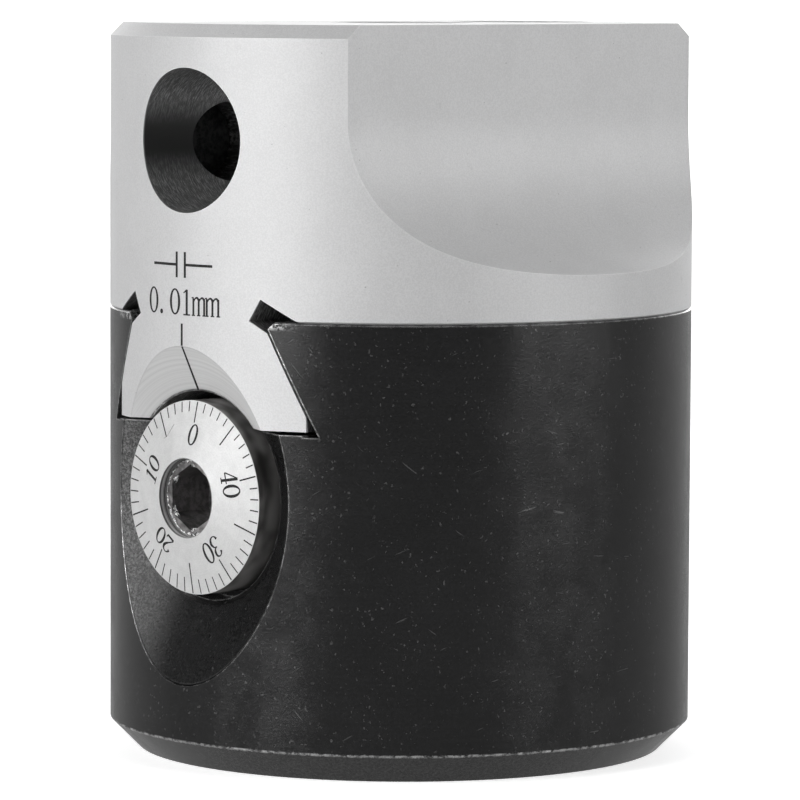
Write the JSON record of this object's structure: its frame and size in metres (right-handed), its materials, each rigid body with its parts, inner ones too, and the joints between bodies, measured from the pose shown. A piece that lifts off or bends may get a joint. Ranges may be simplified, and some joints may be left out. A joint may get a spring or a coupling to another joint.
{
  "type": "boring head",
  "caption": "Adjustable boring head for milling machines: dovetail slide moved by a graduated lead screw, with bores for boring bars.",
  "frame": {"origin": "centre of the shank face, where the shank bore opens", "axes": "+Z along the head's axis towards the tool end, slide travel along Y with the dial at -Y, clamp screws at -X"},
  "size_m": [0.05, 0.05, 0.0621],
  "materials": {
    "black_steel": "satin",
    "ground_steel": "satin",
    "screw_steel": "satin",
    "dial_steel": "satin",
    "set_screw_steel": "satin",
    "brass": "satin",
    "bronze": "satin"
  },
  "bodies": {
    "base": {"body": "black_steel", "thrust_ring": "screw_steel", "front_thrust_washer": "screw_steel", "rear_thrust_washer": "screw_steel", "rear_bush": "bronze"},
    "slide": {"slide": "ground_steel", "lead_nut": "bronze", "nut_pin": "screw_steel"},
    "screw": {"lead_screw": "screw_steel", "dial": "dial_steel", "dial_set_screw": "set_screw_steel"},
    "lock": {"slide_lock_screw": "set_screw_steel", "lock_pad": "brass"},
    "gib_front": {"gib_screw_front": "set_screw_steel", "gib_pad_front": "brass"},
    "gib_rear": {"gib_screw_rear": "set_screw_steel", "gib_pad_rear": "brass"},
    "centre_clamp": {"centre_bar_screw": "set_screw_steel"},
    "offset_clamp": {"offset_bar_screw": "set_screw_steel"},
    "cross_clamp": {"cross_bar_screw": "set_screw_steel"}
  },
  "joints": [
    {"name": "lead_screw_turn", "type": "hinge", "parent": "base", "child": "screw", "pos_m": [0, 0, 0.0228], "axis": [0, 1, 0], "range_deg": [-4680.1, 4680.1]},
    {"name": "slide_travel", "type": "slide", "parent": "base", "child": "slide", "axis": [0, -1, 0], "range_m": [-0.0065, 0.0065]},
    {"name": "lock_screw_feed", "type": "slide", "parent": "base", "child": "lock", "axis": [1, 0, 0], "range_m": [-0.002, 0]},
    {"name": "gib_front_feed", "type": "slide", "parent": "base", "child": "gib_front", "axis": [1, 0, 0], "range_m": [-0.0015, 0]},
    {"name": "gib_rear_feed", "type": "slide", "parent": "base", "child": "gib_rear", "axis": [1, 0, 0], "range_m": [-0.0015, 0]},
    {"name": "centre_clamp_feed", "type": "slide", "parent": "slide", "child": "centre_clamp", "axis": [1, 0, 0], "range_m": [-0.003, 0.0032]},
    {"name": "offset_clamp_feed", "type": "slide", "parent": "slide", "child": "offset_clamp", "axis": [1, 0, 0], "range_m": [-0.003, 0.0032]},
    {"name": "cross_clamp_feed", "type": "slide", "parent": "slide", "child": "cross_clamp", "axis": [1, 0, 0], "range_m": [-0.003, 0.0032]}
  ],
  "couplings": [
    {"joint": "lead_screw_turn", "follows": "slide_travel", "rad_per_m": 12566}
  ]
}
